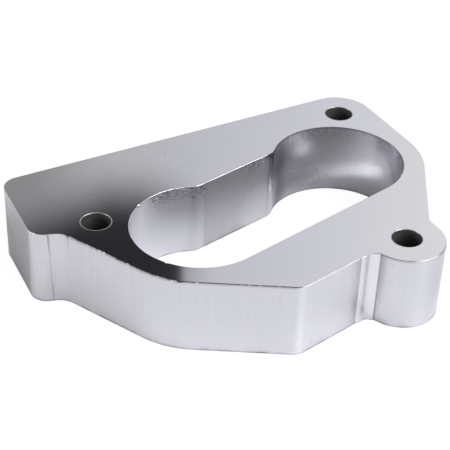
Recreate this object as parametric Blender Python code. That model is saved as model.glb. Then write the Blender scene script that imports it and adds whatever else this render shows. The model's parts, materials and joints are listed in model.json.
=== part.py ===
"""Throttle body spacer: one plate machined from aluminium billet.

The plate sits between an intake manifold (below) and a two-barrel throttle body (above).
Two bores joined by a slot carry the air, and three plain holes let the throttle body's
studs through to the manifold.

The outline is drawn around the middle of the port: +X runs through the middles of both
bores, +Y points to the long sloping rear edge, and +Z points up to the throttle body.
The finished plate is then placed with the middle of its footprint at the origin and its
underside on z = 0.
"""

import math

import bmesh
import bpy
from mathutils import Vector

MM = 0.001

# Plate
THICKNESS = 25.4 * MM
EDGE_BREAK = 0.25 * MM
ARC_STEP = math.radians(4.0)

# Port: two bores and the slot that joins them. The slot's front wall is tangent to both
# bores, and its rear wall meets them in rounded shoulders.
BORE_RADIUS = 21.7 * MM
BORE_SPACING = 60.5 * MM
SLOT_REAR = 17.1 * MM
SHOULDER_RADIUS = 5.0 * MM

# Bolt holes, chamfered at both ends
HOLE_RADIUS = 4.6 * MM
HOLE_CHAMFER = 0.35 * MM
HOLE_SIDES = 48
HOLE_REAR_LEFT = Vector((-53.7, 21.5)) * MM
HOLE_REAR_RIGHT = Vector((52.6, 21.7)) * MM
HOLE_FRONT = Vector((14.4, -44.8)) * MM

# Metal left around each bore and around the two holes that stand in bosses
LEFT_BORE_BOSS = 28.9 * MM
RIGHT_BORE_BOSS = 28.5 * MM
FRONT_BOSS = 12.0 * MM
REAR_RIGHT_BOSS = 11.8 * MM

# Corners where two straight walls would cross, and the radius that rounds each one
REAR_LEFT_CORNER = Vector((-64.0, 58.7)) * MM
REAR_LEFT_RADIUS = 5.8 * MM
EAR_CORNER = Vector((-73.4, 27.4)) * MM
EAR_RADIUS = 5.5 * MM
EAR_NOTCH = Vector((-65.2, 22.8)) * MM
EAR_NOTCH_RADIUS = 6.7 * MM
FRONT_LEFT_CORNER = Vector((-27.4, -42.8)) * MM
FRONT_LEFT_RADIUS = 6.0 * MM
BOSS_NOTCH_LEFT = Vector((1.1, -43.2)) * MM
BOSS_NOTCH_LEFT_RADIUS = 3.2 * MM
BOSS_NOTCH_RIGHT = Vector((27.1, -42.7)) * MM
BOSS_NOTCH_RIGHT_RADIUS = 4.5 * MM

# Finish
ALUMINIUM_COLOUR = (0.80, 0.80, 0.83, 1.0)
ALUMINIUM_ROUGHNESS = 0.22


def clear_scene():
    for obj in list(bpy.data.objects):
        bpy.data.objects.remove(obj, do_unlink=True)


def unit(angle):
    return Vector((math.cos(angle), math.sin(angle)))


def angle_of(vector):
    return math.atan2(vector.y, vector.x)


def arc(centre, radius, start, end, turn):
    """Points and outward normals along an arc, and turn is +1 for anticlockwise.

    The material lies to the left of the path, so a clockwise arc hollows it and its
    normals point to the arc's centre.
    """
    sweep = ((end - start) * turn) % (2.0 * math.pi)
    steps = max(2, math.ceil(sweep / ARC_STEP))
    radials = [unit(start + turn * sweep * i / steps) for i in range(steps + 1)]
    return [(centre + radius * radial, turn * radial) for radial in radials]


def rounded_corner(point, radius):
    """A corner is a boss of no radius until its two walls are known."""
    return {"centre": point, "radius": 0.0, "rounding": radius}


def boss(centre, radius):
    return {"centre": centre, "radius": radius, "rounding": 0.0}


def wall_direction(first, second):
    """Heading of the straight wall tangent to two bosses that it passes on its left."""
    gap = second["centre"] - first["centre"]
    lean = math.asin((second["radius"] - first["radius"]) / gap.length)
    return angle_of(gap) - lean


def plate_outline():
    """The plate's edge, anticlockwise, as points with outward normals."""
    left_bore = Vector((-BORE_SPACING / 2.0, 0.0))
    right_bore = Vector((BORE_SPACING / 2.0, 0.0))
    stations = [
        rounded_corner(REAR_LEFT_CORNER, REAR_LEFT_RADIUS),
        rounded_corner(EAR_CORNER, EAR_RADIUS),
        rounded_corner(EAR_NOTCH, EAR_NOTCH_RADIUS),
        boss(left_bore, LEFT_BORE_BOSS),
        rounded_corner(FRONT_LEFT_CORNER, FRONT_LEFT_RADIUS),
        rounded_corner(BOSS_NOTCH_LEFT, BOSS_NOTCH_LEFT_RADIUS),
        boss(HOLE_FRONT, FRONT_BOSS),
        rounded_corner(BOSS_NOTCH_RIGHT, BOSS_NOTCH_RIGHT_RADIUS),
        boss(right_bore, RIGHT_BORE_BOSS),
        boss(HOLE_REAR_RIGHT, REAR_RIGHT_BOSS),
    ]
    outline = []
    for index, station in enumerate(stations):
        before = wall_direction(stations[index - 1], station)
        after = wall_direction(station, stations[(index + 1) % len(stations)])
        turn_angle = math.remainder(after - before, 2.0 * math.pi)
        turn = math.copysign(1.0, turn_angle)
        centre = station["centre"]
        radius = station["radius"]
        if station["rounding"]:
            radius = station["rounding"]
            setback = radius * math.tan(abs(turn_angle) / 2.0)
            to_left = unit(before + math.pi / 2.0)
            centre = centre - setback * unit(before) + turn * radius * to_left
        quarter = turn * math.pi / 2.0
        outline += arc(centre, radius, before - quarter, after - quarter, turn)
    return outline


def port_outline():
    """The port's edge, anticlockwise, as points with normals out into the metal."""
    half_spacing = BORE_SPACING / 2.0
    left_bore = Vector((-half_spacing, 0.0))
    right_bore = Vector((half_spacing, 0.0))
    shoulder_rise = SLOT_REAR + SHOULDER_RADIUS
    shoulder_run = math.sqrt((BORE_RADIUS + SHOULDER_RADIUS) ** 2 - shoulder_rise**2)
    left_shoulder = left_bore + Vector((shoulder_run, shoulder_rise))
    right_shoulder = right_bore + Vector((-shoulder_run, shoulder_rise))
    left_angle = angle_of(left_shoulder - left_bore)
    right_angle = angle_of(right_shoulder - right_bore)
    down = -math.pi / 2.0
    outline = arc(left_bore, BORE_RADIUS, left_angle, down, 1.0)
    outline += arc(right_bore, BORE_RADIUS, down, right_angle, 1.0)
    # Each shoulder shares one end point with its bore, so that point isn't repeated.
    right_turn = arc(right_shoulder, SHOULDER_RADIUS, right_angle - math.pi, down, -1.0)
    left_turn = arc(left_shoulder, SHOULDER_RADIUS, down, left_angle + math.pi, -1.0)
    return outline + right_turn[1:] + left_turn[:-1]


def hole_outline(centre):
    radials = [unit(2.0 * math.pi * i / HOLE_SIDES) for i in range(HOLE_SIDES)]
    return [(centre + HOLE_RADIUS * radial, radial) for radial in radials]


def add_ring(bm, outline, offset, height):
    """A closed loop of vertices, the outline moved along its normals by offset."""
    ring = []
    for point, normal in outline:
        place = point + offset * normal
        ring.append(bm.verts.new((place.x, place.y, height)))
    return ring


def add_wall(bm, outline, chamfer):
    """The wall over one outline, with both ends chamfered. Returns its end rings.

    A chamfer above zero widens an opening, and one below zero trims the plate's edge.
    """
    levels = [
        (chamfer, 0.0),
        (0.0, abs(chamfer)),
        (0.0, THICKNESS - abs(chamfer)),
        (chamfer, THICKNESS),
    ]
    rings = [add_ring(bm, outline, offset, height) for offset, height in levels]
    for lower, upper in zip(rings, rings[1:]):
        for index in range(len(lower)):
            corners = (lower[index - 1], lower[index], upper[index], upper[index - 1])
            bm.faces.new(corners)
    return rings[0], rings[-1]


def add_flat_face(bm, rings):
    """One flat face bounded by the outermost ring and pierced by the others."""
    edges = []
    for ring in rings:
        for index in range(len(ring)):
            edges.append(bm.edges.get((ring[index - 1], ring[index])))
    bmesh.ops.triangle_fill(bm, use_beauty=True, use_dissolve=False, edges=edges)


def centre_footprint(bm):
    xs = [vertex.co.x for vertex in bm.verts]
    ys = [vertex.co.y for vertex in bm.verts]
    middle = Vector(((min(xs) + max(xs)) / 2.0, (min(ys) + max(ys)) / 2.0, 0.0))
    bmesh.ops.translate(bm, verts=bm.verts, vec=-middle)


def aluminium_material():
    material = bpy.data.materials.new("machined_aluminium")
    material.use_nodes = True
    shader = material.node_tree.nodes["Principled BSDF"]
    shader.inputs["Base Color"].default_value = ALUMINIUM_COLOUR
    shader.inputs["Metallic"].default_value = 1.0
    shader.inputs["Roughness"].default_value = ALUMINIUM_ROUGHNESS
    return material


def spacer_body():
    """The whole plate: outer wall, port, three bolt holes and the two sealing faces."""
    walls = [(plate_outline(), -EDGE_BREAK), (port_outline(), EDGE_BREAK)]
    for centre in (HOLE_REAR_LEFT, HOLE_REAR_RIGHT, HOLE_FRONT):
        walls.append((hole_outline(centre), HOLE_CHAMFER))
    bm = bmesh.new()
    ends = [add_wall(bm, outline, chamfer) for outline, chamfer in walls]
    add_flat_face(bm, [bottom for bottom, top in ends])
    add_flat_face(bm, [top for bottom, top in ends])
    bmesh.ops.recalc_face_normals(bm, faces=bm.faces)
    centre_footprint(bm)
    mesh = bpy.data.meshes.new("spacer_body")
    bm.to_mesh(mesh)
    bm.free()
    mesh.shade_smooth()
    mesh.set_sharp_from_angle(angle=math.radians(20.0))
    mesh.materials.append(aluminium_material())
    body = bpy.data.objects.new("spacer_body", mesh)
    bpy.context.scene.collection.objects.link(body)
    return body


clear_scene()
spacer_body()
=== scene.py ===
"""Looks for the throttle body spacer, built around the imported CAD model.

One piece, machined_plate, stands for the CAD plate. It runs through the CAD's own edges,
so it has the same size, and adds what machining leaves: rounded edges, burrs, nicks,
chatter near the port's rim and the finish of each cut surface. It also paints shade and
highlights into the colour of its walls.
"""

import json
import math
from types import SimpleNamespace as Group

import bmesh
import bpy
import numpy as np
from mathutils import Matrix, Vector, noise


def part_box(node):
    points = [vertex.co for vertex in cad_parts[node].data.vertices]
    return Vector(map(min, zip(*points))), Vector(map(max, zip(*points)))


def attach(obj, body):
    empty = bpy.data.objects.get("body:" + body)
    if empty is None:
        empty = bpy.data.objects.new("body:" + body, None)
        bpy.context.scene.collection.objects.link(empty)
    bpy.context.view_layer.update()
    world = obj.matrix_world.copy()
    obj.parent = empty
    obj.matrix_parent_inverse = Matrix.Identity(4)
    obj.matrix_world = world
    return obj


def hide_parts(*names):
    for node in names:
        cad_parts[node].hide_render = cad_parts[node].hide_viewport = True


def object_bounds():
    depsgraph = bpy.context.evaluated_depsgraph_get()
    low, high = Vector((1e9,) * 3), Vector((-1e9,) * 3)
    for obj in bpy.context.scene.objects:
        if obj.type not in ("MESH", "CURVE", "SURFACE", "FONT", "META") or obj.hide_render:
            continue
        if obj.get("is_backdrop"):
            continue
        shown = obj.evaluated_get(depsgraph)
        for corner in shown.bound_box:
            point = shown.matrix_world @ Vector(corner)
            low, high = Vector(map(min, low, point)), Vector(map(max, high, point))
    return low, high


MM = 0.001
NODE = "spacer_body"
WALL_UV = "along_and_up"

# Reading the CAD's mesh: what counts as one vertex, as one height and as close by
PLACE_DIGITS = 7
SAME_HEIGHT = 1e-6
NEARBY = 1.0 * MM

# How finely the plate's walls are divided. A side of the CAD's loop that is longer than
# STRAIGHT_OVER is a flat wall.
COLUMN_WIDTH = 0.25 * MM
STRAIGHT_OVER = 3.0 * MM
RIM_BAND = 5.0 * MM
RIM_ROW = 0.22 * MM
WALL_ROWS = 9
HOLE_ROWS = 4
FOOT_ROWS = np.array([0.9, 0.6, 0.4, 0.25, 0.12, 0.0]) * MM

# Edges, in shares of the CAD's chamfer. A lip is (inset, drop) from the face down, and
# EDGE_FADE is how far below an edge its size and its painted shade and highlights die away.
EDGE_SEGMENTS = 4
SHARP_EDGE = 0.35
FULL_EDGE = 1.0
LIP = ((1.0, 0.0), (0.8, -0.12), (0.5, -0.08), (0.35, 0.15))
EDGE_FADE = 3.0
# A share of the edge's painted shade and highlights carried onto the wall just below it
EDGE_LIGHT_BELOW = 0.5
# The lower edge is painted dark: a painted contact shadow
LOWER_EDGE_SHADE = 0.85

# Where the marks are: offsets in plan from the middle of a hole or a bore
FROM_EAR_HOLE = {
    "witness_line": Vector((-15.6, 3.3)) * MM,
    "flutes": Vector((-11.9, -1.0)) * MM,
    "ear_burr": Vector((-18.4, 6.9)) * MM,
    "long_burr_start": Vector((-11.6, -0.6)) * MM,
    "long_burr_end": Vector((1.2, -38.5)) * MM,
    "dark_edge_start": Vector((1.2, -38.5)) * MM,
    "dark_edge_end": Vector((26.0, -63.5)) * MM,
    "front_corner": Vector((26.0, -63.5)) * MM,
    "side_wall_start": Vector((-12.5, 29.5)) * MM,
    "side_wall_end": Vector((-18.0, 12.0)) * MM,
}
FROM_FRONT_HOLE = {
    "wall_crease": Vector((-17.7, 1.9)) * MM,
    "boss_crease": Vector((-12.6, -0.5)) * MM,
    "dark_edge_start": Vector((-15.0, 1.6)) * MM,
    "dark_edge_end": Vector((-7.5, -9.6)) * MM,
    "bulge_highlight": Vector((-4.0, -11.3)) * MM,
    "side_edge_start": Vector((1.6, -12.0)) * MM,
    "side_edge_end": Vector((6.4, -10.3)) * MM,
}
FROM_LEFT_BORE = {
    "rear_nick": Vector((-8.1, 20.4)) * MM,
    "front_nick": Vector((-20.3, -8.4)) * MM,
    "chatter": Vector((8.0, 19.0)) * MM,
    "shoulder": Vector((12.2, 18.0)) * MM,
    "pit": Vector((18.0, 38.7)) * MM,
}
FROM_RIGHT_BORE = {
    "chatter": Vector((-18.6, 17.1)) * MM,
    "shoulder": Vector((-15.0, 17.1)) * MM,
    "shoulder_turn": Vector((-13.3, 17.5)) * MM,
    "shaded_patch": Vector((-7.0, 20.3)) * MM,
    "shaded_band": Vector((4.5, 21.2)) * MM,
    "bright_streak": Vector((21.2, -4.6)) * MM,
}

# Group of the marks. The painted light in them runs from -1, a painted highlight, to 1,
# painted shade, and edge is the extra size of an edge in chamfers. Depths are measured
# down from the upper face.
OUTER_WAVE = Group(height=0.008 * MM, length=9.0 * MM, seed=1.0)
PORT_WAVE = Group(height=0.008 * MM, length=8.0 * MM, seed=4.0)
# A painted contact shadow along each wall's foot
FOOT_LINE = Group(height=0.4 * MM, stain=0.9, even=0.65, uneven=0.8, least=0.2, length=4.0 * MM)
WITNESS_LINE = Group(lean=0.035, groove=0.05 * MM, groove_width=0.22 * MM)
# Painted shade along the witness groove
WITNESS_SHADE = Group(stain=0.75, width=0.24 * MM)
WITNESS_FADE = Group(all_along=0.30, top=0.70, top_depth=5.0 * MM, foot=0.25, foot_depth=19.0 * MM)
FLUTES = Group(height=0.012 * MM, length=0.9 * MM, seed=2.0, half_width=3.0 * MM, softness=3.0 * MM)
# A streak of painted shade by the flutes, fading downwards
FLUTE_STREAK = Group(stain=0.28, width=0.5 * MM, depth=3.5 * MM)
# A painted shadow just under the long burr, and painted shade along its edge
LONG_BURR = Group(softness=2.0 * MM, stain=0.7, stain_depth=0.4 * MM, edge_stain=0.6)
EAR_BURR = Group(softness=3.0 * MM, share=0.6)
TEETH = Group(height=0.5 * MM, depth=0.5 * MM)
# Painted glints on the burr's specks and crumbs
SPECKS = Group(edge=0.5, stain=-1.6)
CRUMBS = Group(edge=2.2, stain=-1.0)
# Painted shade along both creases and their line, and a painted highlight on the strip between them
WALL_CREASE = Group(cut=0.10 * MM, cut_width=4.5 * MM, stain=0.40, width=2.2 * MM, top_share=0.5)
BOSS_CREASE = Group(cut=0.34 * MM, cut_width=4.0 * MM, stain=0.52, width=2.6 * MM, foot_loss=0.5)
BOSS_CREASE_LINE = Group(width=0.35 * MM, top_stain=0.25, foot_stain=0.6)
CREASE_FOOT = (8.0 * MM, 22.0 * MM)
STRIP = Group(fill=0.23 * MM, stain=-0.9, softness=0.2 * MM)
# A painted highlight on the boss's bulge, and painted shade on the side wall
BULGE_HIGHLIGHT = Group(stain=-0.5, width=2.6 * MM)
SIDE_WALL = Group(stain=0.35, softness=3.0 * MM, power=1.5)
# A painted highlight band just past the front corner
FRONT_CORNER = Group(stain=-1.0, past=0.6 * MM, width=1.2 * MM)
# Painted shade along stretches of the upper edge
DARK_EDGE = Group(softness=1.0 * MM, edge=0.5, stain=0.9)
BOSS_EDGE = Group(softness=2.5 * MM, share=0.7)
SIDE_EDGE = Group(softness=1.0 * MM, share=0.8)
LEFT_CHATTER = Group(half_width=9.0 * MM, depth=5.0 * MM, grain=1.4 * MM)
RIGHT_CHATTER = Group(half_width=5.5 * MM, depth=2.6 * MM, grain=1.5 * MM)
CHATTER_SOFTNESS = 2.5 * MM
# Chatter: its relief, and painted shade and highlights that follow its grain
CHATTER_COARSE = Group(grain=1.0, row=0.5 * MM, height=0.11 * MM, stain=1.0, seed=5.0)
CHATTER_FINE = Group(grain=0.5, row=0.35 * MM, height=0.06 * MM, stain=0.5, seed=6.0)
CHATTER_LIGHT = Group(middle=0.25, least=-0.3, most=0.8)
NICK_WIDTH = 0.35 * MM
REAR_NICK_DEPTH = 0.20 * MM
FRONT_NICK_DEPTH = 0.35 * MM
BORE_REACH = Group(radius=22.5 * MM, softness=2.0 * MM)
PORT_EDGE = Group(edge=0.30, uneven=0.20, length=2.0 * MM, seed=8.0)
# Painted light in the bores: a painted dark rim and shade, a painted highlight low in the left
# bore, painted shade in a patch and a band, and a painted highlight streak
RIGHT_BORE = Group(edge_stain=0.8, stain=0.30, depth=9.0 * MM)
LEFT_BORE = Group(stain=-0.8, depth=16.0 * MM)
SHADED_PATCH = Group(stain=0.55, width=4.8 * MM, depth=10.0 * MM)
SHADED_BAND = Group(stain=0.62, width=10.5 * MM, depth=19.0 * MM, half_height=4.5 * MM)
BRIGHT_STREAK = Group(stain=-0.7, width=3.0 * MM)
# Painted shade and highlights at the shoulders, on the slot's wall and at its foot
LEFT_SHOULDER = Group(stain=0.22, width=1.6 * MM)
RIGHT_SHOULDER = Group(stain=0.40, width=0.3 * MM)
SHOULDER_TURN = Group(stain=0.60, width=1.4 * MM, depth=17.0 * MM, foot_stain=-0.5, power=4)
SLOT_WALL = Group(stain=0.12, softness=2.0 * MM)
SLOT_FOOT = Group(stain=-0.6, width=5.5 * MM, depths=(10.0 * MM, 18.0 * MM))

# Grain of the burrs: a base amount, then (amount, wavelength, seed) for each noise on it
TEETH_GRAIN = (0.3, (1.5, 0.6 * MM, 3.0), (0.7, 2.6 * MM, 9.0))
SPECK_GRAIN = (-1.2, (4.5, 0.6 * MM, 7.0))
CRUMB_GRAIN = (0.3, (3.0, 0.6 * MM, 11.0))
DARK_EDGE_GRAIN = (2.3, (4.0, 1.6 * MM, 6.0))

# The small dent in the upper face, as (radius, depth) from its rim to its floor
PIT_RINGS = ((0.34 * MM, 0.0), (0.25 * MM, 0.06 * MM), (0.12 * MM, 0.14 * MM))
PIT_SIDES = 14
PIT_WOBBLE = 0.18
PIT_LOBES = 3.0
PIT_TURN = 1.0

# Finishes. Tool marks are layers of noise, with grains per metre along a wall and up it,
# or along X and Y on a flat face, and their height in metres.
MILLED_FACE = Group(
    name="milled_face",
    colour=(0.84, 0.84, 0.875, 1.0),
    roughness=0.05,
    anisotropy=0.0,
    on_wall=False,
    layers=[
        Group(grains=(60.0, 1400.0), detail=2.0, height=4.0e-7),
        Group(grains=(140.0, 160.0), detail=2.0, height=3.0e-7),
    ],
)
END_MILLED_WALL = Group(
    name="end_milled_wall",
    colour=(0.865, 0.865, 0.90, 1.0),
    roughness=0.24,
    anisotropy=0.3,
    on_wall=True,
    layers=[
        Group(grains=(1500.0, 30.0), detail=3.0, height=3.0e-6),
        Group(grains=(240.0, 30.0), detail=1.0, height=8.0e-6),
    ],
)
BROKEN_EDGE = Group(
    name="broken_edge",
    colour=(0.86, 0.86, 0.90, 1.0),
    roughness=0.30,
    anisotropy=0.0,
    on_wall=True,
    layers=[Group(grains=(1800.0, 900.0), detail=2.0, height=1.0e-5)],
)
BORED_WALL = Group(
    name="bored_wall",
    colour=(0.825, 0.825, 0.86, 1.0),
    roughness=0.20,
    anisotropy=0.3,
    on_wall=True,
    layers=[
        Group(grains=(1100.0, 45.0), detail=3.0, height=3.0e-6),
        Group(grains=(160.0, 60.0), detail=1.0, height=1.2e-5),
        Group(grains=(2200.0, 2200.0), detail=1.0, height=2.5e-6),
    ],
)
# The drilled wall is painted near black: painted shade deep in the holes
SHADED_DRILLED_WALL = Group(
    name="drilled_wall",
    colour=(0.12, 0.12, 0.115, 1.0),
    roughness=0.85,
    anisotropy=0.0,
    on_wall=True,
    layers=[Group(grains=(60.0, 2500.0), detail=3.0, height=2.0e-5)],
)
HOLE_LIP = Group(
    name="hole_lip",
    colour=(0.80, 0.80, 0.84, 1.0),
    roughness=0.42,
    anisotropy=0.0,
    on_wall=True,
    layers=[Group(grains=(900.0, 900.0), detail=2.0, height=4.0e-6)],
)
FINISHES_BY_SLOT = (
    MILLED_FACE,
    END_MILLED_WALL,
    BROKEN_EDGE,
    BORED_WALL,
    SHADED_DRILLED_WALL,
    HOLE_LIP,
)
FACE_SLOT = FINISHES_BY_SLOT.index(MILLED_FACE)
OUTER_SLOT = FINISHES_BY_SLOT.index(END_MILLED_WALL)
EDGE_SLOT = FINISHES_BY_SLOT.index(BROKEN_EDGE)
PORT_SLOT = FINISHES_BY_SLOT.index(BORED_WALL)
HOLE_SLOT = FINISHES_BY_SLOT.index(SHADED_DRILLED_WALL)
LIP_SLOT = FINISHES_BY_SLOT.index(HOLE_LIP)

# Colours painted on the walls: dark violet painted shade, in creases, by burrs and elsewhere, and
# pale painted highlights
PAINTED_SHADE = (0.065, 0.055, 0.10, 1.0)
PAINTED_HIGHLIGHT = (0.96, 0.96, 0.99, 1.0)
SHADE_ROUGHNESS = 0.25

# Streaks in every finish: the noise values they run between, the range of roughness
# they give, and how much darker they are on a wall and on the flat faces
STREAK_NOISE = (0.2, 0.8)
STREAK_DETAIL = 2.0
STREAK_ROUGHNESS = (0.8, 1.2)
WALL_STREAK_SHADE = 0.95
FACE_STREAK_SHADE = 0.965

# Table
TABLE_HALF_SIDE = 3.0
TABLE_GAP = 0.02 * MM
TABLE_COLOUR = (0.80, 0.80, 0.82, 1.0)
TABLE_SEEN_COLOUR = (0.12, 0.12, 0.12, 1.0)
TABLE_GLOW = 0.94

# Room. Azimuths run from +Y towards +X and heights from the horizon up, in degrees, and
# each pair is where a soft edge starts and ends.
FLAG_COLOUR = (0.025, 0.024, 0.027, 1.0)
FLAG_LEAN = 0.33
FLAG_LEAN_UNTIL = 36.5
FLAG_LOWER_EDGE = (43.8, 46.65)
FLAG_TOP_EDGE = (50.0, 70.0)
FLAG_LEFT_EDGE = (-50.0, -20.0)
FLAG_SOFT_EDGE = (38.0, 42.0)
FLAG_CRISP_EDGE = (40.35, 40.7)
FLAG_CRISP_TAIL = (40.6, 42.4)
FLAG_CRISP_SHARE = 0.75
FLAG_CRISP_ABOVE = (33.5, 35.5)
BY_FLAG = Group(azimuths=(32.0, 37.5), levels=(0.30, 0.54))
PAST_FLAG = Group(azimuths=(37.5, 60.0), levels=(0.0, 0.37))
COOL_COLOUR = (0.99, 0.99, 1.06, 1.0)
COOL_FROM = (33.0, 44.0)
COOL_UNTIL = (46.0, 54.0)
MIRRORED_FROM = (5.0, 25.0)
MIRRORED_UNTIL = (60.0, 85.0)
MIRRORED_ABOVE = (18.0, 26.0)
MIRRORED_BELOW = (40.0, 52.0)
ROOM = Group(heights=(0.0, 70.0), levels=(0.50, 0.26))
WHITE = (1.0, 1.0, 1.0, 1.0)

# Lights
LIGHT_DISTANCE = 2.0
KEY = {
    "azimuth": 156.0,
    "height": 37.0,
    "size": (1.6, 1.3),
    "power": 38.0,
    "colour": (0.99, 0.99, 1.02),
}
LEFT_FILL = {
    "azimuth": 300.0,
    "height": 14.0,
    "size": (0.7, 0.6),
    "power": 13.5,
    "colour": (1.0, 1.0, 0.93),
}
GLINT_HEIGHT = 0.6
GLINT_SPREAD = 1.3
GLINT_SOURCE = 1.0 * MM
RIGHT_GLINT = {"offset": Vector((4.1, 9.4)) * MM, "power": 11.0}
LEFT_GLINT = {"offset": Vector((16.4, -7.9)) * MM, "power": 16.0}

# Camera: the way it looks and its roll, in degrees, and the point it aims at, from the
# middle of the plate. The heading runs from +Y towards +X.
CAMERA_HEADING = 42.75
CAMERA_LOOKS_DOWN = 34.65
CAMERA_ROLL = 2.21
CAMERA_DISTANCE = 421.0 * MM
CAMERA_AIM = Vector((-8.1, 7.9, 0.4)) * MM
CAMERA_LENS = 104.3
CAMERA_CLIP = 10.0 * MM


# ---- What the frame says ----------------------------------------------------------


def opening_centre(record, name):
    """Middle of one of the record's stated openings, in plan."""
    for opening in record["physics"]["openings"]:
        if opening["name"] == name:
            low, high = opening["box_m"]
            return Vector(((low[0] + high[0]) / 2.0, (low[1] + high[1]) / 2.0))
    raise ValueError(f"the record states no opening called {name}")


def flat_face_loops(mesh, height):
    """Boundary loops of the flat face at this height, longest first.

    Each loop keeps the metal on its left, so the plate's edge runs anticlockwise and
    the openings run clockwise.
    """
    places = [tuple(round(value, PLACE_DIGITS) for value in vertex.co) for vertex in mesh.vertices]
    border = {}
    for polygon in mesh.polygons:
        corners = [places[index] for index in polygon.vertices]
        if any(abs(corner[2] - height) > SAME_HEIGHT for corner in corners):
            continue
        for start, end in zip(corners, corners[1:] + corners[:1]):
            if (end, start) in border:
                del border[end, start]
            else:
                border[start, end] = True
    follows = {start: end for start, end in border}
    loops = []
    while follows:
        first = min(follows)
        loop = [first]
        here = follows.pop(first)
        while here != first:
            loop.append(here)
            here = follows.pop(here)
        loops.append(np.array(loop)[:, :2])
    return sorted(loops, key=loop_length, reverse=True)


def loop_length(loop):
    return np.linalg.norm(np.roll(loop, -1, axis=0) - loop, axis=1).sum()


def edge_break(mesh, loop, top):
    """How far below the flat face the CAD's wall starts under this loop."""
    places = np.array([vertex.co for vertex in mesh.vertices])
    near = np.linalg.norm(places[:, :2] - loop[0], axis=1) < NEARBY
    below = places[near & (places[:, 2] < top - SAME_HEIGHT), 2]
    return top - below.max()


# ---- Rings around the walls -------------------------------------------------------


def smooth_ring(loop, spacing):
    """Points and air-side normals along the smooth curve through a faceted loop."""
    steps = np.roll(loop, -1, axis=0) - loop
    arriving = np.roll(steps, 1, axis=0)
    lengths = np.linalg.norm(steps, axis=1)
    straight = lengths > STRAIGHT_OVER
    tangents = steps + arriving
    tangents[straight] = steps[straight]
    after_straight = np.roll(straight, 1)
    tangents[after_straight] = arriving[after_straight]
    tangents /= np.linalg.norm(tangents, axis=1)[:, None]
    points = []
    headings = []
    for index, length in enumerate(lengths):
        nxt = (index + 1) % len(loop)
        pieces = max(1, math.ceil(length / spacing))
        t = (np.arange(pieces) / pieces)[:, None]
        leave = tangents[index] * length
        arrive = tangents[nxt] * length
        # A cubic curve with these tangents at its ends, and its slope
        points.append(
            (2 * t**3 - 3 * t**2 + 1) * loop[index]
            + (t**3 - 2 * t**2 + t) * leave
            + (3 * t**2 - 2 * t**3) * loop[nxt]
            + (t**3 - t**2) * arrive
        )
        headings.append(
            (6 * t**2 - 6 * t) * (loop[index] - loop[nxt])
            + (3 * t**2 - 4 * t + 1) * leave
            + (3 * t**2 - 2 * t) * arrive
        )
    points = np.concatenate(points)
    headings = np.concatenate(headings)
    headings /= np.linalg.norm(headings, axis=1)[:, None]
    return points, np.stack([headings[:, 1], -headings[:, 0]], axis=1)


class Wall:
    """One wall of the plate: a closed line in plan, with its top and its chamfer."""

    def __init__(self, mesh, loop, top):
        self.top = top
        self.chamfer = edge_break(mesh, loop, top)
        edge, self.normals = smooth_ring(loop, COLUMN_WIDTH)
        self.points = edge + self.chamfer * self.normals
        gaps = np.linalg.norm(np.roll(self.points, -1, axis=0) - self.points, axis=1)
        self.length = gaps.sum()
        self.along = np.concatenate([[0.0], np.cumsum(gaps)[:-1]])

    def station(self, place):
        """Distance along the wall of its point nearest to this place in plan."""
        return self.along[np.linalg.norm(self.points - np.array(place), axis=1).argmin()]

    def away(self, station):
        """Signed distance along the wall from a station, the short way round."""
        half = self.length / 2.0
        return (self.along - station + half) % self.length - half


def ripple(wall, wavelength, seed):
    """Smooth noise along a wall, about -1 to 1, that meets itself at the join."""
    turns = 2.0 * math.pi * wall.along / wall.length
    reach = wall.length / (2.0 * math.pi * wavelength)
    return np.array(
        [noise.noise(Vector((reach * math.cos(a), reach * math.sin(a), seed))) for a in turns]
    )


def window(distance, half_width, softness):
    """1 within half_width of the middle, falling to 0 over softness."""
    fall = np.clip((half_width + softness - np.abs(distance)) / softness, 0.0, 1.0)
    return fall * fall * (3.0 - 2.0 * fall)


# ---- Marks on the walls -----------------------------------------------------------


def hole_rows(wall):
    """Heights of a hole's rows from the top down."""
    return np.linspace(wall.top - wall.chamfer, wall.chamfer, HOLE_ROWS)


def wall_rows(wall):
    """Heights of a wall's rows from the top down, closer at the rim and the foot."""
    low = wall.chamfer
    high = wall.top - wall.chamfer
    band = np.arange(high, high - RIM_BAND, -RIM_ROW)
    middle = np.linspace(band[-1], low + FOOT_ROWS[0], WALL_ROWS)
    return np.concatenate([band[:-1], middle[:-1], low + FOOT_ROWS])


def rough_skin(wall, heights, along, up, seed):
    """Noise over a whole wall, with grains of this size along it and up it."""
    grains = [
        [noise.noise(Vector((place / along, height / up, seed))) for place in wall.along]
        for height in heights
    ]
    return np.array(grains)


def bell(distance, width):
    """1 where the distance is 0, fading to either side."""
    return np.exp(-((distance / width) ** 2))


def decay(distance, reach):
    """1 where the distance is 0, dying away beyond it."""
    return np.exp(-distance / reach)


def ramp(distance, start, end):
    """0 up to the start, rising evenly to 1 at the end."""
    return np.clip((distance - start) / (end - start), 0.0, 1.0)


def grit(wall, base, *noises):
    """Broken grains along a wall, 0 to 1."""
    for amount, wavelength, seed in noises:
        base = base + amount * ripple(wall, wavelength, seed)
    return np.clip(base, 0.0, 1.0)


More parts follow.
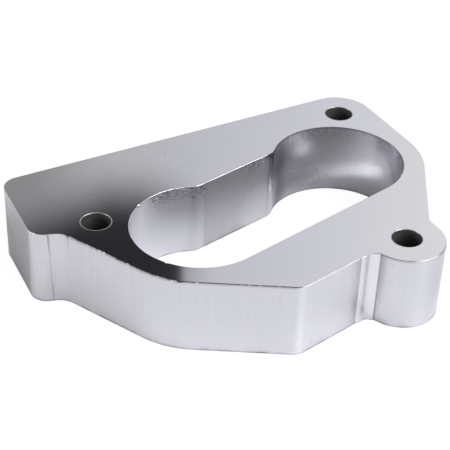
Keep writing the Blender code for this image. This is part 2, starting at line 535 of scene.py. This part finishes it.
class Marks:
    """What machining left on one wall, and the light and shade painted on it, point by point.

    relief is how far the surface stands to the air side. The painted light array runs from
    -1, a painted highlight, to 1, painted shade. edge_scale and the edge's painted light are
    the size and the painted light of each column's edge, and drop is how far a nick lowers it.
    """

    def __init__(self, wall, heights):
        self.wall = wall
        self.heights = heights
        self.depth = (wall.top - heights)[:, None]
        self.relief = np.zeros((len(heights), len(wall.along)))
        self.stain = np.zeros_like(self.relief)
        self.edge_scale = np.full_like(wall.along, SHARP_EDGE)
        self.edge_stain = np.zeros_like(wall.along)
        self.drop = np.zeros_like(wall.along)

    def wave(self, mark):
        """Swells the whole wall gently."""
        self.relief += mark.height * ripple(self.wall, mark.length, mark.seed)

    def paint_foot_shadow(self, seed):
        """A painted shadow: a thin uneven dark line where the wall meets the table."""
        height = self.wall.top - self.wall.chamfer - self.depth
        uneven = FOOT_LINE.uneven * ripple(self.wall, FOOT_LINE.length, seed)
        uneven = np.clip(FOOT_LINE.even + uneven, FOOT_LINE.least, 1.0)
        line = uneven * decay(height, FOOT_LINE.height)
        self.stain = (1.0 - line) * self.stain + FOOT_LINE.stain * line

    def from_place(self, place):
        """Signed distance of each column, along the wall, from a place in plan."""
        return self.wall.away(self.wall.station(place))

    def stretch(self, start, end, softness):
        """1 on the columns between two places, falling to 0 over softness."""
        first = self.wall.station(start)
        last = self.wall.station(end)
        middle = (first + last) / 2.0
        return window(self.wall.away(middle), abs(last - first) / 2.0, softness)

    def spot(self, place, width):
        """1 at a place, fading to either side."""
        return bell(self.from_place(place), width)

    def around(self, middle):
        """1 on the columns of the bore round this middle, falling to 0 past it."""
        distance = np.linalg.norm(self.wall.points - np.array(middle), axis=1)
        return window(distance, BORE_REACH.radius, BORE_REACH.softness)


def witness_marks(marks, ear):
    """The cutter's witness line on the ear, with painted shade along it, and flute marks in the
    hollow beside it, with a streak of painted shade by them.
    """
    depth = marks.depth
    lean = marks.from_place(ear["witness_line"]) - WITNESS_LINE.lean * depth
    fade = WITNESS_FADE.all_along + WITNESS_FADE.top * bell(depth, WITNESS_FADE.top_depth)
    fade = fade + WITNESS_FADE.foot * (depth > WITNESS_FADE.foot_depth)
    marks.relief -= WITNESS_LINE.groove * bell(lean, WITNESS_LINE.groove_width) * fade
    # Painted shade along the witness groove
    marks.stain += WITNESS_SHADE.stain * bell(lean, WITNESS_SHADE.width) * fade
    flutes = window(marks.from_place(ear["flutes"]), FLUTES.half_width, FLUTES.softness)
    flutes = flutes * ripple(marks.wall, FLUTES.length, FLUTES.seed)
    marks.relief += FLUTES.height * flutes
    # A streak of painted shade by the flutes
    streak = marks.spot(ear["flutes"], FLUTE_STREAK.width)
    marks.stain += FLUTE_STREAK.stain * streak * decay(depth, FLUTE_STREAK.depth)


def burr_marks(marks, ear):
    """Torn burrs along the upper edge: teeth, specks and crumbs, with a painted shadow under the
    burr, painted shade along its edge and painted glints on the specks and crumbs.
    """
    wall = marks.wall
    long_burr = marks.stretch(ear["long_burr_start"], ear["long_burr_end"], LONG_BURR.softness)
    ear_burr = marks.stretch(ear["ear_burr"], ear["ear_burr"], EAR_BURR.softness)
    teeth = (long_burr + EAR_BURR.share * ear_burr) * grit(wall, *TEETH_GRAIN)
    specks = long_burr * grit(wall, *SPECK_GRAIN)
    crumbs = ear_burr * grit(wall, *CRUMB_GRAIN)
    marks.relief += TEETH.height * teeth * decay(marks.depth, TEETH.depth)
    # A painted shadow under the burr, painted shade along its edge and painted glints on specks and
    # crumbs
    marks.stain += LONG_BURR.stain * long_burr * decay(marks.depth, LONG_BURR.stain_depth)
    marks.edge_scale += SPECKS.edge * specks + CRUMBS.edge * crumbs
    marks.edge_stain += LONG_BURR.edge_stain * long_burr
    marks.edge_stain += SPECKS.stain * specks + CRUMBS.stain * crumbs


def crease_marks(marks, front):
    """The two creases, and the strip between them, that a smaller cutter left, with painted shade
    along the creases and a painted highlight on the strip.
    """
    wall = marks.wall
    past_wall = marks.from_place(front["wall_crease"])
    past_boss = marks.from_place(front["boss_crease"])
    before = np.where(past_wall <= 0.0, -past_wall, wall.length)
    after = np.where(past_boss >= 0.0, past_boss, wall.length)
    marks.relief -= WALL_CREASE.cut * np.clip(1.0 - before / WALL_CREASE.cut_width, 0.0, 1.0) ** 2
    marks.relief -= BOSS_CREASE.cut * np.clip(1.0 - after / BOSS_CREASE.cut_width, 0.0, 1.0) ** 2
    foot = ramp(marks.depth, *CREASE_FOOT)
    on_wall = WALL_CREASE.top_share + (1.0 - WALL_CREASE.top_share) * foot
    on_boss = 1.0 - BOSS_CREASE.foot_loss * foot
    # Painted shade beside each crease
    marks.stain += WALL_CREASE.stain * decay(before, WALL_CREASE.width) * on_wall
    marks.stain += BOSS_CREASE.stain * decay(after, BOSS_CREASE.width) * on_boss
    strip_width = wall.station(front["boss_crease"]) - wall.station(front["wall_crease"])
    share = np.clip(past_wall / strip_width, 0.0, 1.0)
    # The bulge share * (1 - share) ** 2 is 4 / 27 at its highest.
    marks.relief += STRIP.fill * (share * (1.0 - share) ** 2 / (4.0 / 27.0))
    # A painted highlight on the strip
    strip = marks.stretch(front["wall_crease"], front["boss_crease"], STRIP.softness)
    marks.stain += STRIP.stain * strip
    # A painted dark line at the boss crease, darker at its foot
    line = BOSS_CREASE_LINE.top_stain + BOSS_CREASE_LINE.foot_stain * foot
    marks.stain += bell(after, BOSS_CREASE_LINE.width) * line


def dark_edge_marks(marks, ear, front):
    """Painted shade: dark lines along stretches of the upper edge."""
    line = marks.stretch(ear["dark_edge_start"], ear["dark_edge_end"], DARK_EDGE.softness)
    line = line * grit(marks.wall, *DARK_EDGE_GRAIN)
    boss_line = marks.stretch(
        front["dark_edge_start"], front["dark_edge_end"], BOSS_EDGE.softness
    )
    side_line = marks.stretch(
        front["side_edge_start"], front["side_edge_end"], SIDE_EDGE.softness
    )
    line = np.maximum(line, BOSS_EDGE.share * boss_line)
    line = np.maximum(line, SIDE_EDGE.share * side_line)
    marks.edge_scale += DARK_EDGE.edge * line
    # Painted shade along the edge
    marks.edge_stain += DARK_EDGE.stain * line


def outer_marks(wall, ear_hole, front_hole):
    """Everything on the plate's outer wall."""
    marks = Marks(wall, wall_rows(wall))
    ear = {name: ear_hole + offset for name, offset in FROM_EAR_HOLE.items()}
    front = {name: front_hole + offset for name, offset in FROM_FRONT_HOLE.items()}
    marks.wave(OUTER_WAVE)
    witness_marks(marks, ear)
    burr_marks(marks, ear)
    crease_marks(marks, front)

    # A painted highlight where the boss bulges most to the front, and painted shade on the
    # side wall, darker towards its foot.
    bulge = marks.spot(front["bulge_highlight"], BULGE_HIGHLIGHT.width)
    marks.stain += BULGE_HIGHLIGHT.stain * bulge
    side = marks.stretch(ear["side_wall_start"], ear["side_wall_end"], SIDE_WALL.softness)
    marks.stain += SIDE_WALL.stain * side * (marks.depth / wall.top) ** SIDE_WALL.power

    # A painted highlight band just past the front corner
    past_corner = marks.from_place(ear["front_corner"]) - FRONT_CORNER.past
    marks.stain += FRONT_CORNER.stain * bell(past_corner, FRONT_CORNER.width)

    dark_edge_marks(marks, ear, front)
    marks.paint_foot_shadow(seed=12.0)
    return marks


def chatter_marks(marks, place, patch):
    """A patch of chatter under the rim, in coarse and fine grains: real relief, with painted shade
    and highlights that follow the same grain and darken the patch on the whole.
    """
    relief = 0.0
    stain = CHATTER_LIGHT.middle
    for layer in (CHATTER_COARSE, CHATTER_FINE):
        along = layer.grain * patch.grain
        skin = rough_skin(marks.wall, marks.heights, along, layer.row, layer.seed)
        relief = relief + layer.height * skin
        stain = stain + layer.stain * skin
    spread = window(marks.from_place(place), patch.half_width, CHATTER_SOFTNESS)
    spread = spread * bell(marks.depth, patch.depth)
    marks.relief += spread * relief
    # Painted shade and highlights that follow the chatter's grain
    marks.stain += spread * np.clip(stain, CHATTER_LIGHT.least, CHATTER_LIGHT.most)


def bore_marks(marks, left_bore, right_bore, right):
    """The two bores' rims, and painted light in the bores: a painted dark rim and painted shade
    high on the right bore, a painted highlight low in the left bore, painted shade in a patch and a
    band, and a painted highlight streak.
    """
    depth = marks.depth
    in_right = marks.around(right_bore)
    uneven = ripple(marks.wall, PORT_EDGE.length, PORT_EDGE.seed)
    marks.edge_scale += PORT_EDGE.edge * (1.0 - in_right) + PORT_EDGE.uneven * uneven
    # A painted dark rim and painted shade high on the right bore
    marks.edge_stain += RIGHT_BORE.edge_stain * in_right
    marks.stain += RIGHT_BORE.stain * in_right * bell(depth, RIGHT_BORE.depth)
    # A painted highlight low in the left bore
    marks.stain += LEFT_BORE.stain * marks.around(left_bore) * ramp(depth, 0.0, LEFT_BORE.depth)
    # Painted shade in a patch and a band
    patch = marks.spot(right["shaded_patch"], SHADED_PATCH.width)
    marks.stain += SHADED_PATCH.stain * patch * ramp(depth, 0.0, SHADED_PATCH.depth)
    band = marks.spot(right["shaded_band"], SHADED_BAND.width)
    marks.stain += SHADED_BAND.stain * band * bell(depth - SHADED_BAND.depth, SHADED_BAND.half_height)
    # A painted highlight streak
    streak = marks.spot(right["bright_streak"], BRIGHT_STREAK.width)
    marks.stain += BRIGHT_STREAK.stain * streak


def slot_marks(marks, left, right):
    """Painted shade on the slot's wall with a painted highlight at its foot, and painted shade and
    a painted highlight at the shoulders at its ends.
    """
    wall = marks.wall
    depth = marks.depth
    # Painted shade on the slot's wall
    slot = marks.stretch(left["shoulder"], right["shoulder"], SLOT_WALL.softness)
    marks.stain += SLOT_WALL.stain * slot
    # A painted highlight at the slot's foot
    foot = marks.spot(right["chatter"], SLOT_FOOT.width) * ramp(depth, *SLOT_FOOT.depths)
    marks.stain += SLOT_FOOT.stain * foot
    # Painted shade at the shoulders
    marks.stain += LEFT_SHOULDER.stain * marks.spot(left["shoulder"], LEFT_SHOULDER.width)
    marks.stain += RIGHT_SHOULDER.stain * marks.spot(right["shoulder"], RIGHT_SHOULDER.width)
    # Painted shade at the right shoulder's turn, and a painted highlight at its foot
    turn = marks.spot(right["shoulder_turn"], SHOULDER_TURN.width)
    dark = np.exp(-((depth / SHOULDER_TURN.depth) ** SHOULDER_TURN.power))
    marks.stain += SHOULDER_TURN.stain * turn * dark
    marks.stain += SHOULDER_TURN.foot_stain * turn * (depth / wall.top) ** SHOULDER_TURN.power


def port_marks(wall, left_bore, right_bore):
    """Everything on the port's wall."""
    marks = Marks(wall, wall_rows(wall))
    left = {name: left_bore + offset for name, offset in FROM_LEFT_BORE.items()}
    right = {name: right_bore + offset for name, offset in FROM_RIGHT_BORE.items()}
    marks.wave(PORT_WAVE)
    chatter_marks(marks, left["chatter"], LEFT_CHATTER)
    chatter_marks(marks, right["chatter"], RIGHT_CHATTER)
    marks.drop += REAR_NICK_DEPTH * marks.spot(left["rear_nick"], NICK_WIDTH)
    marks.drop += FRONT_NICK_DEPTH * marks.spot(left["front_nick"], NICK_WIDTH)
    bore_marks(marks, left_bore, right_bore, right)
    slot_marks(marks, left, right)
    marks.paint_foot_shadow(seed=13.0)
    return marks


def hole_marks(wall):
    """A drilled hole has no marks, and its edge keeps the chamfer's full size."""
    marks = Marks(wall, hole_rows(wall))
    marks.edge_scale[:] = FULL_EDGE
    return marks


# ---- The plate's mesh -------------------------------------------------------------


def edge_profile(chamfer, kind):
    """(inset, drop) pairs from the flat face down to the wall."""
    if kind == "lipped":
        return [(inset * chamfer, fall * chamfer) for inset, fall in LIP]
    angles = [math.pi / 2.0 * i / EDGE_SEGMENTS for i in range(EDGE_SEGMENTS)]
    return [(chamfer * (1.0 - math.sin(a)), chamfer * (1.0 - math.cos(a))) for a in angles]


def add_ring(bm, wall, offset, height, stain):
    """One row of vertices, offset to the air side by an amount for each column."""
    # Each vertex carries its painted light: painted shade above 0, a painted highlight below 0
    layer = bm.verts.layers.float["stain"]
    places = wall.points + wall.normals * np.broadcast_to(offset, wall.along.shape)[:, None]
    heights = np.broadcast_to(height, wall.along.shape)
    painted_lights = np.broadcast_to(stain, wall.along.shape)
    ring = []
    for (x, y), z, amount in zip(places, heights, painted_lights):
        vertex = bm.verts.new((x, y, z))
        vertex[layer] = min(max(float(amount), -1.0), 1.0)
        ring.append(vertex)
    return ring


def add_wall(bm, marks, kind, slots, uv):
    """Skins one wall from its top edge to its bottom edge and returns the end rings."""
    wall = marks.wall
    scale = marks.edge_scale
    rows = []
    for inset, fall in edge_profile(wall.chamfer, kind):
        offset = marks.relief[0] - inset * scale - marks.drop
        sink = fall * scale + (marks.drop if fall else 0.0)
        ring = add_ring(bm, wall, offset, wall.top - sink, marks.edge_stain)
        rows.append((ring, wall.top - fall))
    wall_start = len(rows) - 1 if kind == "lipped" else len(rows)
    for index, height in enumerate(marks.heights):
        below_edge = wall.top - height - wall.chamfer
        by_edge = np.clip(1.0 - below_edge / (EDGE_FADE * wall.chamfer), 0.0, 1.0)
        sink = by_edge * (wall.chamfer * (scale - 1.0) + marks.drop)
        offset = marks.relief[index] - marks.drop * by_edge
        # The edge's painted shade and highlights run a little way down the wall
        stain = marks.stain[index] + by_edge * EDGE_LIGHT_BELOW * marks.edge_stain
        rows.append((add_ring(bm, wall, offset, height - sink, stain), height))
    wall_end = len(rows)
    # The lower edge's rows carry a painted contact shadow
    for inset, fall in reversed(edge_profile(wall.chamfer, "rounded")):
        ring = add_ring(bm, wall, marks.relief[-1] - inset, fall, LOWER_EDGE_SHADE)
        rows.append((ring, fall))
    edge_slot, wall_slot = slots
    count = len(wall.along)
    for row in range(len(rows) - 1):
        (upper, high), (lower, low) = rows[row], rows[row + 1]
        on_wall = wall_start <= row < wall_end - 1
        for column in range(count):
            after = (column + 1) % count
            face = bm.faces.new((upper[column], lower[column], lower[after], upper[after]))
            face.smooth = True
            face.material_index = wall_slot if on_wall else edge_slot
            left = wall.along[column]
            right = wall.along[after] if after else wall.length
            places = ((left, high), (left, low), (right, low), (right, high))
            for corner, place in zip(face.loops, places):
                corner[uv].uv = place
    return rows[0][0], rows[-1][0]


def add_pit(bm, place, top):
    """A small dent in the upper face: returns its rim, to be left open in the face."""
    rings = []
    for radius, depth in PIT_RINGS:
        ring = []
        for index in range(PIT_SIDES):
            angle = -2.0 * math.pi * index / PIT_SIDES
            wobble = 1.0 + PIT_WOBBLE * math.sin(PIT_LOBES * angle + PIT_TURN)
            x = place.x + radius * wobble * math.cos(angle)
            y = place.y + radius * math.sin(angle)
            ring.append(bm.verts.new((x, y, top - depth)))
        rings.append(ring)
    for upper, lower in zip(rings, rings[1:]):
        for index in range(PIT_SIDES):
            after = (index + 1) % PIT_SIDES
            face = bm.faces.new((upper[index], lower[index], lower[after], upper[after]))
            face.smooth = True
    bm.faces.new(rings[-1][::-1])
    return rings[0]


def add_flat_face(bm, rings, uv):
    """One flat face bounded by the longest ring and pierced by the others."""
    edges = []
    for ring in rings:
        for index in range(len(ring)):
            edges.append(bm.edges.get((ring[index - 1], ring[index])))
    for edge in edges:
        edge.smooth = False
    made = bmesh.ops.triangle_fill(bm, use_beauty=True, use_dissolve=False, edges=edges)
    for face in made["geom"]:
        if isinstance(face, bmesh.types.BMFace):
            face.material_index = FACE_SLOT
            face.smooth = True
            for corner in face.loops:
                corner[uv].uv = corner.vert.co.xy


def machined_plate(frame):
    """The plate's visible mesh, drawn through the CAD's edges."""
    cad = frame["nodes"][NODE]
    record = frame["record"]
    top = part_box(NODE)[1].z
    left_bore = opening_centre(record, "left_bore")
    right_bore = opening_centre(record, "right_bore")
    ear_hole = opening_centre(record, "rear_left_stud_hole")
    front_hole = opening_centre(record, "front_stud_hole")
    outer, port, *holes = [Wall(cad.data, loop, top) for loop in flat_face_loops(cad.data, top)]
    bm = bmesh.new()
    # Painted shade and painted highlights, per vertex, for the wall materials
    bm.verts.layers.float.new("stain")
    uv = bm.loops.layers.uv.new(WALL_UV)
    marks = outer_marks(outer, ear_hole, front_hole)
    ends = [add_wall(bm, marks, "rounded", (EDGE_SLOT, OUTER_SLOT), uv)]
    marks = port_marks(port, left_bore, right_bore)
    ends.append(add_wall(bm, marks, "rounded", (EDGE_SLOT, PORT_SLOT), uv))
    for hole in holes:
        ends.append(add_wall(bm, hole_marks(hole), "lipped", (LIP_SLOT, HOLE_SLOT), uv))
    tops = [upper for upper, lower in ends]
    bottoms = [lower for upper, lower in ends]
    pit = add_pit(bm, left_bore + FROM_LEFT_BORE["pit"], top)
    add_flat_face(bm, tops + [pit], uv)
    add_flat_face(bm, bottoms, uv)
    bmesh.ops.recalc_face_normals(bm, faces=bm.faces)
    mesh = bpy.data.meshes.new("machined_plate")
    bm.to_mesh(mesh)
    bm.free()
    plate = bpy.data.objects.new("machined_plate", mesh)
    bpy.context.scene.collection.objects.link(plate)
    for finish in FINISHES_BY_SLOT:
        mesh.materials.append(bare_metal(finish))
    return plate


# ---- Materials --------------------------------------------------------------------


class Shader:
    """Adds nodes to a node tree, each with its inputs given by name or number."""

    def __init__(self, owner):
        owner.use_nodes = True
        self.tree = owner.node_tree
        self.tree.nodes.clear()

    def add(self, kind, inputs=None, **settings):
        node = self.tree.nodes.new(kind)
        for name, value in settings.items():
            setattr(node, name, value)
        for name, value in (inputs or {}).items():
            if isinstance(value, bpy.types.NodeSocket):
                self.tree.links.new(value, node.inputs[name])
            else:
                node.inputs[name].default_value = value
        return node

    def maths(self, operation, *values):
        node = self.add("ShaderNodeMath", dict(enumerate(values)), operation=operation)
        return node.outputs[0]

    def product(self, first, *others):
        for other in others:
            first = self.maths("MULTIPLY", first, other)
        return first

    def blend(self, value, span, levels, smooth=True):
        """The first level up to the span, the second past it, and eased between them."""
        low, high = span
        start, end = levels
        node = self.add(
            "ShaderNodeMapRange",
            {"Value": value, "From Min": low, "From Max": high, "To Min": start, "To Max": end},
            interpolation_type="SMOOTHSTEP" if smooth else "LINEAR",
        )
        return node.outputs["Result"]

    def rise(self, value, span):
        return self.blend(value, span, (0.0, 1.0))

    def fall(self, value, span):
        return self.blend(value, span, (1.0, 0.0))

    def grey(self, level):
        return self.add("ShaderNodeCombineColor", {0: level, 1: level, 2: level}).outputs[0]

    def colour_mix(self, factor, first, second):
        node = self.add("ShaderNodeMix", data_type="RGBA")
        for name, value in (("Factor_Float", factor), ("A_Color", first), ("B_Color", second)):
            socket = next(s for s in node.inputs if s.identifier == name)
            if isinstance(value, bpy.types.NodeSocket):
                self.tree.links.new(value, socket)
            else:
                socket.default_value = value
        return next(s for s in node.outputs if s.identifier == "Result_Color")


def stretched_noise(shader, coordinates, grains, detail):
    """Noise with its own number of grains per metre along each direction."""
    mapping = shader.add("ShaderNodeMapping", {"Vector": coordinates, "Scale": grains + (1.0,)})
    grain = shader.add(
        "ShaderNodeTexNoise",
        {"Vector": mapping.outputs[0], "Scale": 1.0, "Detail": detail, "Roughness": 0.5},
    )
    return grain.outputs["Fac"]


def tool_mark_normal(shader, grid, layers):
    """The surface normal, tilted by each layer of tool marks in turn."""
    normal = None
    for layer in layers:
        marks = stretched_noise(shader, grid, layer.grains, layer.detail)
        inputs = {"Height": marks, "Distance": layer.height, "Strength": 1.0}
        if normal is not None:
            inputs["Normal"] = normal
        normal = shader.add("ShaderNodeBump", inputs).outputs[0]
    return normal


def bare_metal(finish):
    """Streaked bare metal, with painted shade and painted highlights on the walls where the marks
    say so.
    """
    material = bpy.data.materials.new(finish.name)
    shader = Shader(material)
    where = shader.add("ShaderNodeTexCoord")
    grid = where.outputs["UV"] if finish.on_wall else where.outputs["Object"]
    normal = tool_mark_normal(shader, grid, finish.layers)
    streaks = stretched_noise(shader, grid, finish.layers[0].grains, STREAK_DETAIL)
    spread = [share * finish.roughness for share in STREAK_ROUGHNESS]
    rough = shader.blend(streaks, STREAK_NOISE, spread, smooth=False)
    shade = WALL_STREAK_SHADE if finish.on_wall else FACE_STREAK_SHADE
    dim = tuple(shade * value for value in finish.colour[:3]) + (1.0,)
    streaked = shader.blend(streaks, STREAK_NOISE, (0.0, 1.0), smooth=False)
    tint = shader.colour_mix(streaked, finish.colour, dim)
    # On the walls the painted light per vertex mixes in painted shade, darker and rougher, and
    # painted highlights
    if finish.on_wall:
        stain = shader.add("ShaderNodeAttribute", attribute_name="stain").outputs["Fac"]
        bright = shader.maths("MAXIMUM", shader.maths("MULTIPLY", stain, -1.0), 0.0)
        stain = shader.maths("MAXIMUM", stain, 0.0)
        tint = shader.colour_mix(bright, tint, PAINTED_HIGHLIGHT)
        tint = shader.colour_mix(stain, tint, PAINTED_SHADE)
        rough = shader.maths("MULTIPLY_ADD", stain, SHADE_ROUGHNESS, rough)
    inputs = {
        "Base Color": tint,
        "Metallic": 1.0,
        "Roughness": rough,
        "Anisotropic": finish.anisotropy,
        "Normal": normal,
    }
    if finish.anisotropy:
        tangent = shader.add("ShaderNodeTangent", direction_type="UV_MAP", uv_map=WALL_UV)
        inputs["Tangent"] = tangent.outputs[0]
    surface = shader.add("ShaderNodeBsdfPrincipled", inputs)
    shader.add("ShaderNodeOutputMaterial", {"Surface": surface.outputs[0]})
    return material


# ---- Studio -----------------------------------------------------------------------


def add_floor():
    """A pale table under the plate. It reads as plain white to the camera."""
    bm = bmesh.new()
    bmesh.ops.create_grid(bm, x_segments=1, y_segments=1, size=TABLE_HALF_SIDE)
    mesh = bpy.data.meshes.new("floor")
    bm.to_mesh(mesh)
    bm.free()
    floor = bpy.data.objects.new("floor", mesh)
    bpy.context.scene.collection.objects.link(floor)
    floor.location.z = -TABLE_GAP
    material = bpy.data.materials.new("pale_table")
    shader = Shader(material)
    path = shader.add("ShaderNodeLightPath")
    card = shader.add("ShaderNodeBsdfDiffuse", {"Color": TABLE_COLOUR})
    faint = shader.add("ShaderNodeBsdfDiffuse", {"Color": TABLE_SEEN_COLOUR})
    glow = shader.add("ShaderNodeEmission", {"Color": WHITE, "Strength": TABLE_GLOW})
    seen = shader.add("ShaderNodeAddShader", {0: faint.outputs[0], 1: glow.outputs[0]})
    both = shader.add(
        "ShaderNodeMixShader",
        {0: path.outputs["Is Camera Ray"], 1: card.outputs[0], 2: seen.outputs[0]},
    )
    shader.add("ShaderNodeOutputMaterial", {"Surface": both.outputs[0]})
    mesh.materials.append(material)
    floor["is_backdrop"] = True


def flag_mask(shader, azimuth, height):
    """1 on the dark flag: its lower edge leans, and its right edge is crisp high up."""
    lean = shader.maths("MINIMUM", azimuth, FLAG_LEAN_UNTIL)
    leaning = shader.maths("MULTIPLY_ADD", lean, FLAG_LEAN, height)
    lower = shader.rise(leaning, FLAG_LOWER_EDGE)
    crisp = shader.blend(azimuth, FLAG_CRISP_EDGE, (FLAG_CRISP_SHARE, 0.0))
    tail = shader.blend(azimuth, FLAG_CRISP_TAIL, (1.0 - FLAG_CRISP_SHARE, 0.0))
    crisp = shader.maths("ADD", crisp, tail)
    soft = shader.fall(azimuth, FLAG_SOFT_EDGE)
    upper = shader.rise(height, FLAG_CRISP_ABOVE)
    right = shader.maths("MULTIPLY_ADD", upper, shader.maths("SUBTRACT", crisp, soft), soft)
    left = shader.rise(azimuth, FLAG_LEFT_EDGE)
    top = shader.fall(height, FLAG_TOP_EDGE)
    return shader.product(lower, right, left, top)


def light_surroundings():
    """A pale room with one dark flag, which the milled face mirrors as its dark corner."""
    world = bpy.data.worlds.new("studio")
    bpy.context.scene.world = world
    shader = Shader(world)
    where = shader.add("ShaderNodeTexCoord")
    parts = shader.add("ShaderNodeSeparateXYZ", {0: where.outputs["Generated"]})
    x, y, z = parts.outputs
    azimuth = shader.maths("DEGREES", shader.maths("ARCTAN2", x, y))
    height = shader.maths("DEGREES", shader.maths("ARCSINE", z))
    flag = flag_mask(shader, azimuth, height)

    # What the upper face mirrors round the flag, which is brighter towards +X
    by_flag = shader.blend(azimuth, BY_FLAG.azimuths, BY_FLAG.levels)
    past_flag = shader.blend(azimuth, PAST_FLAG.azimuths, PAST_FLAG.levels, smooth=False)
    level = shader.grey(shader.maths("ADD", by_flag, past_flag))
    cool = shader.product(shader.rise(azimuth, COOL_FROM), shader.fall(azimuth, COOL_UNTIL))
    sky = shader.colour_mix(cool, WHITE, COOL_COLOUR)
    sky = shader.add("ShaderNodeVectorMath", {0: sky, 1: level}, operation="MULTIPLY").outputs[0]
    mirrored = shader.product(
        shader.rise(azimuth, MIRRORED_FROM),
        shader.fall(azimuth, MIRRORED_UNTIL),
        shader.rise(height, MIRRORED_ABOVE),
        shader.fall(height, MIRRORED_BELOW),
    )
    around = shader.grey(shader.blend(height, ROOM.heights, ROOM.levels))
    sky = shader.colour_mix(mirrored, around, sky)
    room = shader.colour_mix(flag, sky, FLAG_COLOUR)
    path = shader.add("ShaderNodeLightPath")
    seen = shader.colour_mix(path.outputs["Is Camera Ray"], room, WHITE)
    background = shader.add("ShaderNodeBackground", {"Color": seen, "Strength": 1.0})
    shader.add("ShaderNodeOutputWorld", {"Surface": background.outputs[0]})


def direction(azimuth, height):
    """Unit vector towards an azimuth from +Y towards +X and a height, in degrees."""
    level = math.cos(math.radians(height))
    return Vector(
        (
            level * math.sin(math.radians(azimuth)),
            level * math.cos(math.radians(azimuth)),
            math.sin(math.radians(height)),
        )
    )


def add_softbox(name, centre, azimuth, height, size, power, colour):
    """A flat light that stands at this azimuth and height and faces the plate."""
    data = bpy.data.lights.new(name, "AREA")
    data.shape = "RECTANGLE"
    data.size, data.size_y = size
    data.energy = power
    data.color = colour
    light = bpy.data.objects.new(name, data)
    bpy.context.scene.collection.objects.link(light)
    towards = direction(azimuth, height)
    light.location = centre + LIGHT_DISTANCE * towards
    light.rotation_euler = towards.to_track_quat("Z", "Y").to_euler()


def add_glint(name, bore, offset, power):
    """A narrow light straight down through the bore, for the bright patch it mirrors."""
    data = bpy.data.lights.new(name, "SPOT")
    data.spot_size = math.radians(GLINT_SPREAD)
    data.spot_blend = 1.0
    data.shadow_soft_size = GLINT_SOURCE
    data.energy = power
    light = bpy.data.objects.new(name, data)
    bpy.context.scene.collection.objects.link(light)
    light.location = (bore.x + offset.x, bore.y + offset.y, GLINT_HEIGHT)


def add_camera(centre):
    """Looks at the plate from the photograph's angle."""
    look = direction(CAMERA_HEADING, -CAMERA_LOOKS_DOWN)
    data = bpy.data.cameras.new("camera")
    data.lens = CAMERA_LENS
    data.clip_start = CAMERA_CLIP
    camera = bpy.data.objects.new("camera", data)
    bpy.context.scene.collection.objects.link(camera)
    camera.location = centre + CAMERA_AIM - CAMERA_DISTANCE * look
    camera.rotation_euler = look.to_track_quat("-Z", "Y").to_euler()
    camera.rotation_euler.rotate_axis("Z", math.radians(CAMERA_ROLL))
    bpy.context.scene.camera = camera


# ---- Scene ------------------------------------------------------------------------

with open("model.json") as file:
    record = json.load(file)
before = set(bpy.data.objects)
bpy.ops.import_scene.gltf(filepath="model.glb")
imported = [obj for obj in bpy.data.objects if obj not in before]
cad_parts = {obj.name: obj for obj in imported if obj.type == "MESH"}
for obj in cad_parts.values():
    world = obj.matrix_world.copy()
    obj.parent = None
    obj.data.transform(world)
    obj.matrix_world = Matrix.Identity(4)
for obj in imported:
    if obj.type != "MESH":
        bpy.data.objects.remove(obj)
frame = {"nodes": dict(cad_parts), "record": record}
cad_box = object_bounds()
middle = (cad_box[0] + cad_box[1]) / 2.0

plate = machined_plate(frame)
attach(plate, "root")
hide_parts(NODE)

add_floor()
light_surroundings()
add_softbox("key", middle, **KEY)
add_softbox("left_fill", middle, **LEFT_FILL)
right_bore = opening_centre(frame["record"], "right_bore")
add_glint("right_glint", right_bore, **RIGHT_GLINT)
add_glint("left_glint", right_bore, **LEFT_GLINT)
add_camera(middle)
bpy.context.scene.view_settings.view_transform = "Standard"

sizes = {"cad": cad_box, "visual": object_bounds()}
sizes = {name: [list(corner) for corner in box] for name, box in sizes.items()}
